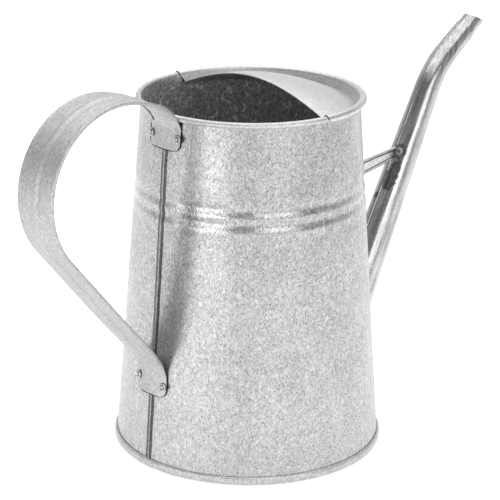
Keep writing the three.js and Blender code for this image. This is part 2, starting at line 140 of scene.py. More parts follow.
SPOUT_ROOT = Vector((78.6, 35.0))                # the spout's centre line
SPOUT_BEND = Vector((163.3, 205.9))
SPOUT_MOUTH = Vector((200.3, 233.4))
SPOUT_ROOT_R = 12.8
SPOUT_MOUTH_R = 6.7
SPOUT_BEND_R = 60.0
SPOUT_SHEET = 0.7
SPOUT_INSET = 34                # the tube is drawn from this far inside the wall
SPOUT_OVERRUN = 14              # and this far past the mouth, and then cut at both ends
TIP_LENGTH = 11.0
TIP_STEP = 0.5                  # the tip is this much slimmer
MOUTH_TILT = math.radians(27)   # lean of the cut end's normal from the vertical
FILLET = 1.7                    # solder in the corner at the spout's foot
WALL_TOUCH = 0.1                # air between the spout's foot and the wall
SPOUT_FORMING = 0.03            # unevenness of the formed tube

BRACE_WALL_Z = 147.6
BRACE_SPOUT_Z = 155.2
BRACE_HALF = 5.0
BRACE_ROLL_R = 0.95             # rolled bead along each long edge
BRACE_NARROW = 0.85             # size at the spout, as a share of the size at the wall

SPOUT_LOWER = (SPOUT_BEND - SPOUT_ROOT).normalized()
SPOUT_ACROSS = Vector((-SPOUT_LOWER.y, SPOUT_LOWER.x))
CONE_SLOPE = (WALL_TOP_R - WALL_BOTTOM_R) / RIM_Z
LEAN = math.atan(-CONE_SLOPE)
ROUND = 288                     # facets round the body
SHARP_ANGLE = math.radians(40)


def wall_r(z):
    return WALL_BOTTOM_R + CONE_SLOPE * z


def lerp(a, b, t):
    return a + (b - a) * t


def smooth(t):
    t = min(max(t, 0.0), 1.0)
    return t * t * (3 - 2 * t)


def fade(value, start, end):
    """0 at the start, 1 at the end, and smooth between them."""
    return smooth((value - start) / (end - start))


def bead_swell(z):
    """How far the wall stands off its plain cone at a height."""
    for (high, start), (low, end) in zip(BEAD_TURNS, BEAD_TURNS[1:]):
        if low <= z <= high:
            return lerp(start, end, fade(z, high, low))
    return 0.0


def arc(centre, radius, start, end, steps):
    angles = np.radians(np.linspace(start, end, steps + 1))
    return [(centre[0] + radius * math.cos(a), centre[1] + radius * math.sin(a)) for a in angles]


# ---- mesh helpers -----------------------------------------------------------------------------
def grid_piece(name, rings, close_rings=False, close_round=True, caps=False):
    """A skin over rings of equal length; rings are lists of (x, y, z) about the can's axis, in mm."""
    points = np.array(rings, float)
    rows, count = points.shape[:2]
    flat = points.reshape(-1, 3) + np.array([AXIS_X, 0, 0])
    faces = []
    for i in range(rows if close_rings else rows - 1):
        for j in range(count if close_round else count - 1):
            a, b = i * count + j, i * count + (j + 1) % count
            c, d = ((i + 1) % rows) * count + (j + 1) % count, ((i + 1) % rows) * count + j
            faces.append((a, b, c, d))
    if caps:
        faces.append(tuple(range(count))[::-1])
        faces.append(tuple((rows - 1) * count + j for j in range(count)))
    mesh = bpy.data.meshes.new(name)
    mesh.from_pydata((flat * MM).tolist(), [], faces)
    return finish_mesh(name, mesh)


def shade(mesh):
    mesh.polygons.foreach_set("use_smooth", [True] * len(mesh.polygons))
    mesh.set_sharp_from_angle(angle=SHARP_ANGLE)


def finish_mesh(name, mesh):
    shape = bmesh.new()
    shape.from_mesh(mesh)
    bmesh.ops.remove_doubles(shape, verts=shape.verts, dist=1e-7)
    bmesh.ops.recalc_face_normals(shape, faces=shape.faces)
    shape.to_mesh(mesh)
    shape.free()
    shade(mesh)
    piece = bpy.data.objects.new(name, mesh)
    bpy.context.scene.collection.objects.link(piece)
    return piece


def revolve(name, profile, count=ROUND, closed_profile=True):
    """Turns a (radius, z) profile about the can's axis."""
    angles = np.radians(np.linspace(0.0, 360.0, count, endpoint=False))
    rings = [[(r * math.cos(a), r * math.sin(a), z) for r, z in profile] for a in angles]
    return grid_piece(name, rings, close_rings=True, close_round=closed_profile)


def cut_away(piece, tool):
    """Takes the tool's solid out of the piece, and drops the tool."""
    cut = piece.modifiers.new("cut", "BOOLEAN")
    cut.object = tool
    cut.operation = "DIFFERENCE"
    cut.solver = "EXACT"
    bpy.context.view_layer.update()
    graph = bpy.context.evaluated_depsgraph_get()
    mesh = bpy.data.meshes.new_from_object(piece.evaluated_get(graph))
    piece.modifiers.clear()
    piece.data = mesh
    bpy.data.objects.remove(tool)


def settle(piece, slot, material, *nodes):
    """Gives a piece its material and body, and hides the CAD nodes that it stands for; the record slot is not
    used.
    """
    piece.data.materials.clear()
    for each in material if isinstance(material, (list, tuple)) else [material]:
        piece.data.materials.append(each)
    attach(piece, "root")
    if nodes:
        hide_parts(*nodes)


class Route:
    """A polyline in the (rho, z) plane that can be read by distance along it."""

    STEP = 0.8                  # reach of a direction reading, to either side

    def __init__(self, points):
        self.points = [Vector(p) for p in points]
        self.reach = [0.0]
        for a, b in zip(self.points, self.points[1:]):
            self.reach.append(self.reach[-1] + (b - a).length)
        self.length = self.reach[-1]

    def at(self, s):
        x = np.interp(s, self.reach, [p.x for p in self.points])
        y = np.interp(s, self.reach, [p.y for p in self.points])
        return Vector((x, y))

    def along(self, s):
        return (self.at(min(s + self.STEP, self.length)) - self.at(max(s - self.STEP, 0))).normalized()


def bezier(p0, p1, p2, p3, steps):
    row = []
    for t in np.linspace(0, 1, steps + 1):
        u = 1 - t
        row.append(p0 * u ** 3 + p1 * 3 * u * u * t + p2 * 3 * u * t * t + p3 * t ** 3)
    return row


# ---- materials --------------------------------------------------------------------------------
class Nodes:
    """Short way to write a material's node tree."""

    def __init__(self, name):
        self.material = bpy.data.materials.new(name)
        self.material.use_nodes = True
        self.tree = self.material.node_tree
        self.tree.nodes.clear()
        self.out = self.add("ShaderNodeOutputMaterial")
        self.shader = self.add("ShaderNodeBsdfPrincipled")
        self.link(self.shader.outputs[0], self.out.inputs[0])
        self.place = self.add("ShaderNodeTexCoord").outputs["Object"]

    def add(self, kind, **settings):
        node = self.tree.nodes.new(kind)
        for key, value in settings.items():
            setattr(node, key, value)
        return node

    def link(self, source, target):
        self.tree.links.new(source, target)

    def stretched(self, scale):
        node = self.add("ShaderNodeMapping")
        node.inputs["Scale"].default_value = scale
        self.link(self.place, node.inputs["Vector"])
        return node.outputs[0]

    def noise(self, scale, detail=4.0, vector=None, rough=0.55):
        node = self.add("ShaderNodeTexNoise")
        node.inputs["Scale"].default_value = scale
        node.inputs["Detail"].default_value = detail
        node.inputs["Roughness"].default_value = rough
        self.link(vector or self.place, node.inputs["Vector"])
        return node.outputs["Fac"]

    def cells(self, scale, vector):
        """Two random values for each cell."""
        node = self.add("ShaderNodeTexVoronoi")
        node.inputs["Scale"].default_value = scale
        self.link(vector, node.inputs["Vector"])
        parts = self.add("ShaderNodeSeparateColor")
        self.link(node.outputs["Color"], parts.inputs[0])
        return parts.outputs[0], parts.outputs[1]

    def spread(self, value, low, high, out_low, out_high):
        node = self.add("ShaderNodeMapRange")
        for key, amount in zip(("From Min", "From Max", "To Min", "To Max"), (low, high, out_low, out_high)):
            node.inputs[key].default_value = amount
        self.link(value, node.inputs["Value"])
        return node.outputs["Result"]

    def math(self, kind, a, b):
        node = self.add("ShaderNodeMath", operation=kind)
        for socket, value in zip(node.inputs, (a, b)):
            if isinstance(value, (int, float)):
                socket.default_value = value
            else:
                self.link(value, socket)
        return node.outputs[0]

    def ramp(self, value, stops):
        node = self.add("ShaderNodeValToRGB")
        band = node.color_ramp
        while len(band.elements) < len(stops):
            band.elements.new(0.5)
        for element, (place, tone) in zip(band.elements, stops):
            element.position = place
            element.color = (*tone, 1.0)
        self.link(value, node.inputs["Fac"])
        return node.outputs["Color"]

    def bump(self, height, strength, distance, under=None):
        node = self.add("ShaderNodeBump")
        node.inputs["Strength"].default_value = strength
        node.inputs["Distance"].default_value = distance
        self.link(height, node.inputs["Height"])
        if under is not None:
            self.link(under, node.inputs["Normal"])
        return node.outputs["Normal"]


# Scales of the textures, per metre.
GRAIN, CRYSTALS, FLECKS, SPECKS, CLOUDS, DENTS = 1250, 700, 400, 1500, 34, 16
STREAKS, BLOTCHES, TUBE_CLOUDS, STAIN_EDGE = 620, 850, 60, 320
CAST_CLOUDS, CAST_LUMPS = 420, 900
STAIN_WANDER = 0.006            # in metres
GLOSS_SPREAD = 0.06             # how far the roughness of one crystal strays from the mean
BURNISH, BURNISH_EDGE = 0.09, 0.003
FOOT_HEIGHT = 0.15              # the painted floor reflection that lightens the foot fades out at this height, in metres


def tint(level, warm=0.0):
    return (level * (1 + warm), level, level * (1 - warm * 0.6) * 1.005)


def galvanised(name, dark, light, rough, relief=0.10, fleck=0.25, speck=0.30, cloudy=0.22, metal=1.0, foot=0.0,
               burnished=None):
    """Hot-dipped zinc: fine mottled grain drawn slightly upright, dark specks, paler crystals, clouding.

    Its foot can be lightened with a painted reflection of the bright floor, and it can be smoother in a band of
    heights where a tool has pressed it.
    """
    n = Nodes(name)
    upright = n.stretched((1.0, 1.0, 0.62))
    grain = n.spread(n.noise(GRAIN, 3, upright, 0.65), 0.36, 0.64, 0.0, 1.0)
    crystal, crystal_gloss = n.cells(CRYSTALS, upright)
    flecks = n.spread(n.noise(FLECKS, 2, upright), 0.58, 0.68, 0.0, 1.0)
    specks = n.spread(n.noise(SPECKS, 1, upright), 0.60, 0.66, 0.0, 1.0)
    cloud = n.noise(CLOUDS, 4)
    tone = n.math("ADD", n.math("MULTIPLY", grain, 0.52), n.math("MULTIPLY", crystal, 0.22))
    tone = n.math("ADD", tone, n.math("MULTIPLY", flecks, fleck))
    tone = n.math("ADD", tone, n.math("MULTIPLY", cloud, cloudy))
    tone = n.math("SUBTRACT", tone, n.math("MULTIPLY", specks, speck))
    height = n.add("ShaderNodeSeparateXYZ")
    n.link(n.place, height.inputs[0])
    # Painted reflection of the bright floor: lighter towards the foot.
    if foot:
        tone = n.math("ADD", tone, n.spread(height.outputs["Z"], 0.0, FOOT_HEIGHT, foot, 0.0))
    n.link(n.ramp(tone, [(0.0, tint(dark)), (1.0, tint(light))]), n.shader.inputs["Base Color"])
    n.shader.inputs["Metallic"].default_value = metal
    gloss = n.math("ADD", n.math("MULTIPLY", crystal_gloss, 0.5), n.math("MULTIPLY", cloud, 0.5))
    matt = n.spread(gloss, 0.25, 0.75, rough + GLOSS_SPREAD, rough - GLOSS_SPREAD)
    if burnished:
        low, high = burnished
        worn = n.math("MULTIPLY", n.spread(height.outputs["Z"], low, low + BURNISH_EDGE, 0.0, BURNISH),
                      n.spread(height.outputs["Z"], high - BURNISH_EDGE, high, 1.0, 0.0))
        matt = n.math("SUBTRACT", matt, worn)
    n.link(matt, n.shader.inputs["Roughness"])
    dents = n.bump(n.noise(DENTS, 2), 0.30, 0.0012)
    n.link(n.bump(tone, relief, 0.0004, dents), n.shader.inputs["Normal"])
    return n.material


def bright_tube(name, along, stains):
    """Smooth zinc with long forming streaks, and dark heat stains round the brace's joint."""
    n = Nodes(name)
    turned = n.add("ShaderNodeMapping")
    turned.inputs["Rotation"].default_value = (0, -math.atan2(along.x, along.y), 0)
    n.link(n.place, turned.inputs["Vector"])
    drawn = n.add("ShaderNodeMapping")
    drawn.inputs["Scale"].default_value = (1, 1, 0.05)
    n.link(turned.outputs[0], drawn.inputs["Vector"])
    streaks = n.noise(STREAKS, 3, drawn.outputs[0], 0.6)
    blotch = n.spread(n.noise(BLOTCHES, 4, rough=0.7), 0.32, 0.68, 0.0, 1.0)
    cloud = n.noise(TUBE_CLOUDS, 3)
    ragged = n.math("MULTIPLY", n.math("SUBTRACT", n.noise(STAIN_EDGE, 3), 0.5), STAIN_WANDER)
    burnt = None
    for spot, radius in stains:
        apart = n.add("ShaderNodeVectorMath", operation="DISTANCE")
        n.link(n.place, apart.inputs[0])
        apart.inputs[1].default_value = spot
        away = n.math("ADD", apart.outputs["Value"], ragged)
        patch = n.spread(away, radius - 0.0004, radius + 0.0006, 1.0, 0.0)
        burnt = patch if burnt is None else n.math("MAXIMUM", burnt, patch)
    tone = n.math("ADD", n.spread(streaks, 0.3, 0.7, 0.0, 0.55), n.math("MULTIPLY", blotch, 0.28))
    tone = n.math("ADD", tone, n.math("MULTIPLY", cloud, 0.3))
    tone = n.math("SUBTRACT", tone, n.math("MULTIPLY", burnt, 0.6))
    stops = [(0.0, tint(0.10)), (0.4, tint(0.36)), (1.0, tint(0.68))]
    n.link(n.ramp(tone, stops), n.shader.inputs["Base Color"])
    n.shader.inputs["Metallic"].default_value = 1.0
    n.link(n.math("ADD", n.spread(blotch, 0.0, 1.0, 0.15, 0.25), n.math("MULTIPLY", burnt, 0.25)),
           n.shader.inputs["Roughness"])
    ripple = n.bump(streaks, 0.30, 0.0004, n.bump(cloud, 0.25, 0.0012))
    n.link(n.bump(blotch, 0.08, 0.0002, ripple), n.shader.inputs["Normal"])
    return n.material


def dull_solder(name, dark, light):
    """Grey cast metal with a lumpy skin."""
    n = Nodes(name)
    cloud = n.noise(CAST_CLOUDS, 5)
    n.link(n.ramp(cloud, [(0.35, tint(dark, 0.03)), (0.7, tint(light))]), n.shader.inputs["Base Color"])
    n.shader.inputs["Metallic"].default_value = 0.85
    n.link(n.spread(cloud, 0.3, 0.7, 0.6, 0.38), n.shader.inputs["Roughness"])
    n.link(n.bump(n.noise(CAST_LUMPS, 4), 0.5, 0.0003), n.shader.inputs["Normal"])
    return n.material


GROOVES = BEAD_TURNS[-1][0] * MM, BEAD_TURNS[0][0] * MM
BODY_METAL = galvanised("galvanised_body", 0.19, 0.68, 0.34, fleck=0.20, speck=0.36, foot=0.16, burnished=GROOVES)
RIM_METAL = galvanised("galvanised_rim", 0.38, 0.78, 0.50, relief=0.06)
INSIDE_METAL = galvanised(
    "galvanised_inside", 0.13, 1.0, 0.55, relief=0.20, fleck=0.85, speck=0.15, cloudy=0.05, metal=0.55
)
# Dark metal that paints shade into creases and grooves, and paints a dark reflection onto the lock seam's sloping
# fold.
SHADE_DARK_METAL = galvanised("painted_shade_zinc", 0.04, 0.17, 0.42)
HOOD_METAL = galvanised("galvanised_hood", 0.42, 0.78, 0.40, relief=0.05, fleck=0.15, speck=0.12)
STRAP_METAL = galvanised("galvanised_strap", 0.32, 0.70, 0.56, relief=0.05, fleck=0.12, speck=0.20)
BASE_METAL = galvanised("galvanised_base", 0.32, 0.78, 0.40)
RIDGE_METAL = galvanised("galvanised_ridge", 0.16, 0.50, 0.40)
RIVET_METAL = galvanised("zinc_rivet", 0.34, 0.70, 0.34, relief=0.08)
BRACE_METAL = galvanised("zinc_brace", 0.36, 0.76, 0.32, relief=0.05, fleck=0.12, speck=0.15)
# Near-black metal that paints shade into the gaps under the lugs, onto cut sheet ends, and along the strap's
# edges and hem slit.
SHADOW_LINE_METAL = galvanised("painted_shadow_line", 0.01, 0.05, 0.60)
SOLDER = dull_solder("solder", 0.24, 0.48)
SCORCH = dull_solder("heat_darkened_zinc", 0.05, 0.20)
WIRE_METAL = dull_solder("drawn_wire", 0.35, 0.6)


# ---- body wall, rim and lock seam -------------------------------------------------------------
def wall_heights(bottom, top):
    beads = list(np.linspace(BEAD_TURNS[-1][0], BEAD_TURNS[0][0], 56))
    lower = list(np.linspace(bottom, beads[0], 40)[:-1])
    return lower + beads + list(np.linspace(beads[-1], top, 14)[1:])


def body_wall():
    heights = wall_heights(WALL_FOOT_Z, WALL_SHOULDER_Z)
    outside = [(wall_r(z) + bead_swell(z), z) for z in heights]
    inside = [(wall_r(z) + bead_swell(z) - SHEET, z) for z in reversed(heights)]
    rim = (CURL_CENTRE_R, RIM_Z)
    curl_inside = arc(rim, CURL_R - SHEET, 178, CURL_END, 20)
    curl_outside = arc(rim, CURL_R, CURL_END, 182, 32)
    piece = revolve("body_shell", outside + curl_inside + curl_outside + inside)
    cut_away(piece, spout_skin("spout_drill", -SPOUT_SHEET, 48))
    mesh = piece.data
    shade(mesh)
    settle(piece, "body_sheet", [BODY_METAL, INSIDE_METAL, RIM_METAL], "body_wall")
    for face in mesh.polygons:
        c = face.center / MM
        outward = Vector((c.x - AXIS_X, c.y, 0))
        inner = face.normal.dot(outward) < 0 and outward.length < wall_r(c.z) - 0.2
        face.material_index = 1 if inner and c.z < RIM_Z - SHEET else 2 if c.z > SEAM_TOP_Z else 0


def lock_seam():
    """Grooved seam down the handle side: a sloping fold painted dark as shade and dark reflection, a bright
    ridge, and a drop painted dark as shade.
    """
    rings = []
    for z in wall_heights(BASE_BAND - 0.6, SEAM_TOP_Z):
        r = wall_r(z) + bead_swell(z)
        drift = sum(reach * math.sin(z * turn) for reach, turn in SEAM_DRIFT)
        rings.append([(-(r + proud), side + SEAM_OFFSET + drift, z) for side, proud in SEAM_SECTION])
    piece = grid_piece("lock_seam", rings, close_round=True, caps=True)
    settle(piece, "body_sheet", [BODY_METAL, SHADE_DARK_METAL, RIDGE_METAL])
    # The fold and the drop get the painted shade; the ridge gets its own lighter metal.
    for face in piece.data.polygons:
        strip = face.index % len(SEAM_SECTION)
        face.material_index = 1 if strip in SEAM_SHADED else 2 if strip in SEAM_RIDGE else 0


# ---- base seam and bottom panel ---------------------------------------------------------------
def base_pan():
    inner = wall_r(WALL_FOOT_Z) - SHEET - 0.3
    leg = inner - SHEET
    lip = wall_r(BASE_BAND) + 0.12
    profile = [(0.0, BASE_RECESS - SHEET), (leg - PANEL_STEP, BASE_RECESS - SHEET)]
    profile += arc((leg - PANEL_STEP + 1, BASE_RECESS - SHEET - 1.0), 1.0, 110, 70, 4)
    profile += [(leg - 4, BASE_RECESS - SHEET)]
    profile += arc((leg - 1.2, BASE_RECESS - SHEET - 1.2), 1.2, 90, 0, 6)
    profile += arc((leg + 0.6, 0.6), 0.6, 180, 270, 6)
    profile += arc((BASE_R - BASE_CORNER, BASE_CORNER), BASE_CORNER, 270, 360, 8)
    profile += arc((BASE_R - BASE_CORNER, BASE_BAND - BASE_CORNER), BASE_CORNER, 0, 90, 8)
    profile += [(lip, BASE_BAND - 0.25), (lip, BASE_BAND - 1.2), (BASE_R - SHEET, BASE_BAND - 1.6)]
    profile += [(BASE_R - SHEET, SHEET), (inner, SHEET), (inner, BASE_RECESS - 0.8)]
    profile += [(leg - 1.0, BASE_RECESS), (0.0, BASE_RECESS)]
    piece = revolve("base_seam", profile, closed_profile=False)
    settle(piece, "base_sheet", BASE_METAL, "base_pan")


# ---- hood -------------------------------------------------------------------------------------
def crown(r):
    """Height of the dome's upper face."""
    rise = max(math.cos(math.pi / 2 * min(r / HOOD_FOLD_R, 1)), 0.0) ** HOOD_CROWN_POWER
    return lerp(HOOD_FOLD_Z, HOOD_TOP_Z, rise)


def hood_end(r, z, near):
    """Distance of the hood's cut end from the can's axis line: straight over the dome, slanted at the rim."""
    if r < CURL_CENTRE_R - CURL_R - 2.3:
        return HOOD_EDGE_X
    climb = fade(z, HOOD_FOLD_Z, RIM_Z + 1)
    return lerp(*(HOOD_NEAR_END if near else HOOD_FAR_END), climb)


def hood():
    near = CURL_R + CREVICE
    far = near + HOOD_SHEET
    fold = CURL_CENTRE_R - far
    rim = (CURL_CENTRE_R, RIM_Z)
    radii = list(np.linspace(HOOD_EDGE_X, fold - 1.5, 48))
    profile = [(r, crown(r) - HOOD_SHEET) for r in radii]
    profile += [(fold, HOOD_FOLD_Z - 0.9), (CURL_CENTRE_R - near, HOOD_FOLD_Z - 0.3)]
    profile += arc(rim, near, 180, HOOD_CRIMP_END, 24) + arc(rim, far, HOOD_CRIMP_END, 180, 30)
    profile += [(fold, HOOD_FOLD_Z + 1.4), (fold - 0.35, HOOD_FOLD_Z + 0.75)]
    profile += [(r, crown(r)) for r in reversed(radii)]
    rings = []
    for u in np.linspace(0, 1, 193):
        ring = []
        for r, z in profile:
            start = -math.acos(min(hood_end(r, z, True) / r, 1))
            end = math.acos(min(hood_end(r, z, False) / r, 1))
            angle = lerp(start, end, u)
            ring.append((r * math.cos(angle), r * math.sin(angle), z))
        rings.append(ring)
    piece = grid_piece("hood_shell", rings, caps=True)
    settle(piece, "hood_sheet", [HOOD_METAL, SHADOW_LINE_METAL], "pouring_hood")
    for face in piece.data.polygons:
        face.material_index = 1 if len(face.vertices) > 4 else 0     # the cut ends, painted dark as shade


def hood_hem():
    """Rolled bead along the hood's free edge."""
    half_span = CURL_CENTRE_R - CURL_R - 0.9
    rings = []
    for y in np.linspace(-half_span, half_span, 121):
        r = math.hypot(y, HOOD_EDGE_X)
        z = crown(r) - HOOD_SHEET / 2
        size = HEM_R * smooth((half_span - abs(y)) / 3 + 0.35)
        turns = np.linspace(0, 2 * math.pi, 12, endpoint=False)
        rings.append([(HOOD_EDGE_X + size * math.cos(a), y, z + size * math.sin(a)) for a in turns])
    piece = grid_piece("hood_hem", rings, caps=True)
    settle(piece, "hood_sheet", HOOD_METAL)


# ---- handle -----------------------------------------------------------------------------------
def lug_point(z):
    return Vector((wall_r(z) + LUG_STANDOFF + STRAP_THICK / 2, z))


def handle_route():
    down = Vector((-math.sin(GRIP_ANGLE), -math.cos(GRIP_ANGLE)))
    leave = Vector((LOOP_RHO + LOOP_R * math.cos(GRIP_ANGLE), LOOP_Z - LOOP_R * math.sin(GRIP_ANGLE)))
    run = math.tan(GRIP_ANGLE)
    meet_z = (leave.x - run * leave.y - lug_point(0).x) / (CONE_SLOPE - run)
    meet = lug_point(meet_z)
    top = Vector((LOOP_RHO, LOOP_Z + LOOP_R))
    rise = bezier(
        lug_point(UPPER_LUG_TOP_Z), lug_point(UPPER_LUG_TOP_Z + LUG_PULL), top - Vector((LOOP_PULL, 0)), top, 40
    )
    bend_start = meet - down * GRIP_BEND[0]
    bend_end = lug_point(meet_z - GRIP_BEND[1])
    bend = bezier(bend_start, bend_start.lerp(meet, 2 / 3), bend_end.lerp(meet, 2 / 3), bend_end, 12)
    loop = [Vector(p) for p in arc((LOOP_RHO, LOOP_Z), LOOP_R, 90, -math.degrees(GRIP_ANGLE), 70)[1:]]
    return Route([lug_point(UPPER_LUG_FOOT_Z), *rise, *loop, *bend, lug_point(LOWER_LUG_FOOT_Z)])


def strap_reach(from_end, widths):
    """Half width to one side, with the corner of the lug rounded off."""
    corner = max(LUG_CORNER - from_end, 0)
    half = float(np.interp(from_end, [at for at, _ in widths], [reach for _, reach in widths]))
    return half - LUG_CORNER + math.sqrt(max(LUG_CORNER ** 2 - corner ** 2, 0.0))


FACE_POINTS = 81                # points across the strap's outer face
HEM_COLUMN = FACE_POINTS + 8    # the inner face starts here, at the far hem
SLIT_COLUMNS = 5                # width of the far hem's slit of painted shade
SLIT_DRIFT = 4                  # columns by which the slit wanders inward at its lower end


def strap_ring(route, s):
    """One section of the strap: a rib in the middle, a hem folded under along each edge.

    It is bowed to fit the wall at the lugs, and slightly the other way in the loop.
    """
    centre, along = route.at(s), route.along(s)
    normal = Vector((-along.y, along.x))
    from_end, to_foot = min(s, route.length - s), route.length - s
    far_widths = UPPER_FAR if s < route.length / 2 else STRAP_FAR
    far, near = strap_reach(from_end, far_widths), strap_reach(from_end, STRAP_NEAR)
    rib = fade(from_end, *RIB_RUNOUT)
    hem = fade(from_end, HEM_START, HEM_START + HEM_RUN)
    seat = 1 - fade(from_end, *LUG_SEAT)
    fit = 1 - fade(s, *UPPER_BOW) * (1 - LOOP_BOW) - fade(to_foot, *LOWER_BOW) * (1 + LOOP_BOW)
    radius = wall_r(centre.y) + LUG_STANDOFF + STRAP_THICK / 2

    groove, groove_side, groove_width = RIB_GROOVE

    def lift(y):
        sag = radius - math.sqrt(radius ** 2 - y ** 2)
        ridge = RIB_PROUD * math.exp(-(y / RIB_WIDTH) ** 2)
        ridge -= groove * math.exp(-((y + groove_side) / groove_width) ** 2)
        ridge += EDGE_LIP * smooth((abs(y) - (far if y > 0 else near) + 3.0) / 1.5)
        closing = 0.8 * seat * (abs(y) / 12.6) ** 4
        return fit * sag + rib * ridge + math.copysign(closing, fit)

    under_edge = -STRAP_THICK / 2 - (HEM_THICK - STRAP_THICK) * hem
    mid = (STRAP_THICK / 2 + under_edge) / 2
    tall = (STRAP_THICK / 2 - under_edge) / 2
    flat_far, flat_near = far - HEM_ROUND, HEM_ROUND - near
    section = []
    for y in np.linspace(flat_near, flat_far, FACE_POINTS):
        section.append((y, lift(y) + STRAP_THICK / 2))
    for a in np.radians(np.linspace(70, -70, 7)):
        section.append((flat_far + HEM_ROUND * math.cos(a), lift(far) + mid + tall * math.sin(a)))
    section += [(y, lift(y) + under_edge) for y in (flat_far, far - 1.1, far - HEM_WIDTH)]
    for y in np.linspace(far - HEM_WIDTH - 0.2, HEM_WIDTH + 0.2 - near, 41):
        section.append((y, lift(y) - STRAP_THICK / 2))
    section += [(HEM_WIDTH - near, lift(HEM_WIDTH - near) + under_edge), (flat_near, lift(-near) + under_edge)]
    for a in np.radians(np.linspace(250, 110, 7)):
        section.append((flat_near + HEM_ROUND * math.cos(a), lift(-near) + mid + tall * math.sin(a)))
    ring = []
    for y, n in section:
        spot = centre + normal * n
        ring.append((-spot.x, y, spot.y))
    return ring


def handle():
    route = handle_route()
    ends = [0, 0.25, 0.6, 1.1, 1.8, 2.6, 3.6, 4.8]
    between = list(np.linspace(6, route.length - 6, 300))
    places = ends + between + [route.length - e for e in reversed(ends)]
    rings = [strap_ring(route, s) for s in places]
    piece = grid_piece("handle_strap_fine", rings, caps=True)
    settle(piece, "handle_sheet", [STRAP_METAL, SHADOW_LINE_METAL], "handle_strap")
    # The strap's very ends, the far edge of each lug and the slit along the far hem are painted dark as shade.
    for face in piece.data.polygons:
        row, column = divmod(face.index, len(rings[0]))
        if row >= len(rings) - 1:
            continue
        s = (places[row] + places[row + 1]) / 2
        from_end = min(s, route.length - s)
        far_edge_shade = from_end < HEM_START and HEM_COLUMN - 6 < column < HEM_COLUMN
        shift = round(lerp(SLIT_DRIFT, 0, (s - HEM_START) / (SLIT_END - HEM_START)))
        slit_shade = HEM_START <= s < SLIT_END and 0 <= column - shift - HEM_COLUMN < SLIT_COLUMNS
        face.material_index = 1 if from_end < 0.5 or far_edge_shade or slit_shade else 0


def lug_shadow_line(name, toe, top, far_widths):
    """Dark sheet under a lug's edges: a painted shadow in the gap where the lug stands off the wall."""
    rings = []
    spread = 0.12
    for d in [0, 0.3, 0.8, 1.6, 2.6, 4.0, 5.5, *np.linspace(7, top - toe, 6)]:
        z = toe + d - spread
        base = wall_r(z) + bead_swell(z)
        sides = np.linspace(-strap_reach(d, STRAP_NEAR) - spread, strap_reach(d, far_widths) + spread, 25)
        ring = []
        for lift, row in ((0.7, sides), (0.05, sides[::-1])):
            for y in row:
                ring.append((-math.sqrt((base + lift) ** 2 - y * y), y, z))
        rings.append(ring)
    piece = grid_piece(name, rings, caps=True)
    settle(piece, "handle_sheet", SHADOW_LINE_METAL)


# ---- rivets -----------------------------------------------------------------------------------
def rivet(name, side, z):
    """Flat-topped head with a pressed ring, shank through strap and wall, clinched tail inside."""
    face = LUG_STANDOFF + STRAP_THICK - 0.45
    tail = -SHEET - 0.05
    head_r = RIVET_HEAD_R
    profile = [(0, tail - 0.9), (head_r - 0.7, tail - 0.85), (head_r - 0.3, tail - 0.5)]
    profile += [(head_r - 0.3, tail), (1.4, tail), (1.4, face), (head_r - 0.15, face)]
    profile += [(head_r, face + 0.2), (head_r, face + 0.75), (head_r - 0.12, face + 0.98)]
    profile += [(head_r - 0.4, face + 1.12), (head_r - 0.75, face + 1.15), (head_r - 0.95, face + 1.0)]
    profile += [(head_r - 1.1, face + 0.92), (head_r - 1.25, face + 1.0), (head_r - 1.5, face + 1.28)]
    profile += [(head_r - 2.0, face + 1.36), (0, face + 1.4)]
    turn = Matrix.Rotation(math.pi / 2 - LEAN, 3, "Y")
    spin = Matrix.Rotation(math.pi - math.asin(side / wall_r(z)), 3, "Z")
    rings = []
    for a in np.linspace(0, 2 * math.pi, 40, endpoint=False):
        ring = []
        for r, h in profile:
            local = turn @ Vector((r * math.cos(a), r * math.sin(a), h))
            ring.append(tuple(spin @ (local + Vector((wall_r(z), 0, z)))))
        rings.append(ring)
    piece = grid_piece(f"{name}_head", rings, close_rings=True, close_round=False)
    settle(piece, "rivets", [RIVET_METAL, SHADE_DARK_METAL], name)
    # The crease under the head and the pressed ring are painted dark as shade.
    grooves = {
        k for k, (r, h) in enumerate(profile)
        if face - 0.1 < h < face + 0.3 or head_r - 1.3 < r < head_r - 0.8
    }
    for each in piece.data.polygons:
        each.material_index = 1 if each.index % (len(profile) - 1) in grooves else 0


# ---- spout ------------------------------------------------------------------------------------
def spout_route():
    upper = (SPOUT_MOUTH - SPOUT_BEND).normalized()
    turn = SPOUT_LOWER.angle(upper)
    start = SPOUT_BEND - SPOUT_LOWER * SPOUT_BEND_R * math.tan(turn / 2)
    centre = start - SPOUT_ACROSS * SPOUT_BEND_R
    first = math.degrees(math.atan2(start.y - centre.y, start.x - centre.x))
    bend = arc(centre, SPOUT_BEND_R, first, first - math.degrees(turn), 24)
    inner_end, outer_end = SPOUT_ROOT - SPOUT_LOWER * SPOUT_INSET, SPOUT_MOUTH + upper * SPOUT_OVERRUN
    return Route([inner_end, SPOUT_ROOT, *bend, SPOUT_MOUTH, outer_end])


SPOUT_ROUTE = spout_route()
SPOUT_SPAN = SPOUT_MOUTH - SPOUT_ROOT


def spout_radius(point):
    travelled = (point - SPOUT_ROOT).dot(SPOUT_SPAN) / SPOUT_SPAN.length_squared
    return lerp(SPOUT_ROOT_R, SPOUT_MOUTH_R, travelled)


